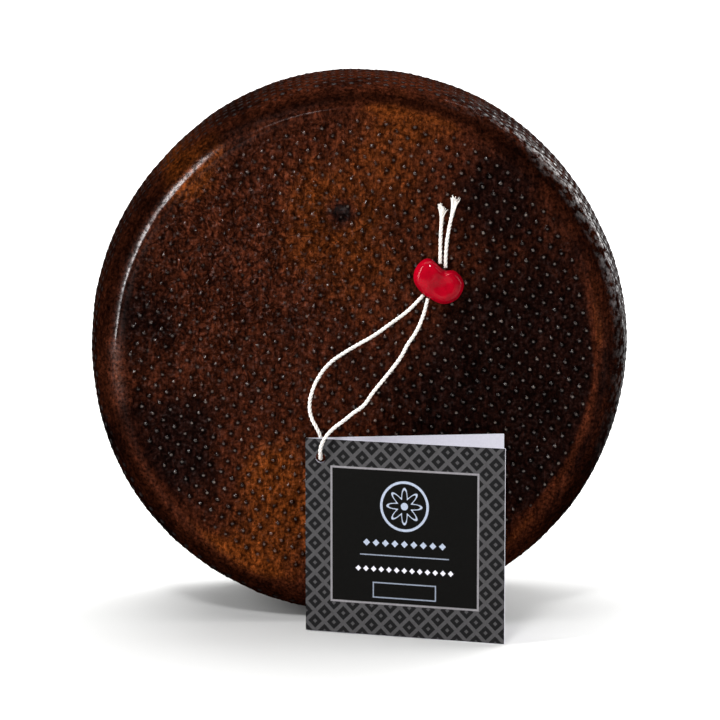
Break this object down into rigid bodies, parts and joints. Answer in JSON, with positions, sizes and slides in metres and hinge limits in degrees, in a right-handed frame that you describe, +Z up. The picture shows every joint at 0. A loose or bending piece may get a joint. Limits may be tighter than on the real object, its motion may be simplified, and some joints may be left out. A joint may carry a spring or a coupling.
{
  "type": "aged goat cheese",
  "caption": "Whole aged goat cheese wheel with a dark brown mould-marked rind, standing on its rim, with a red seal, a white string loop and a folded paper tag.",
  "frame": {"origin": "on the floor, under the middle of the wheel", "axes": "+Z up, +Y along the wheel's axis away from the shown face, +X to the right as seen from the front"},
  "size_m": [0.1794, 0.1178, 0.1796],
  "materials": {
    "rind": "waxed dark brown rind with moulded bumps",
    "seal": "glossy red",
    "string": "white twisted cotton",
    "card": "satin printed card, white inside"
  },
  "bodies": {
    "root": {"cheese_wheel": "rind", "seal_bead": "seal", "string_loop": "string", "string_end_left": "string", "string_end_right": "string", "tag_card": "card"}
  },
  "joints": []
}
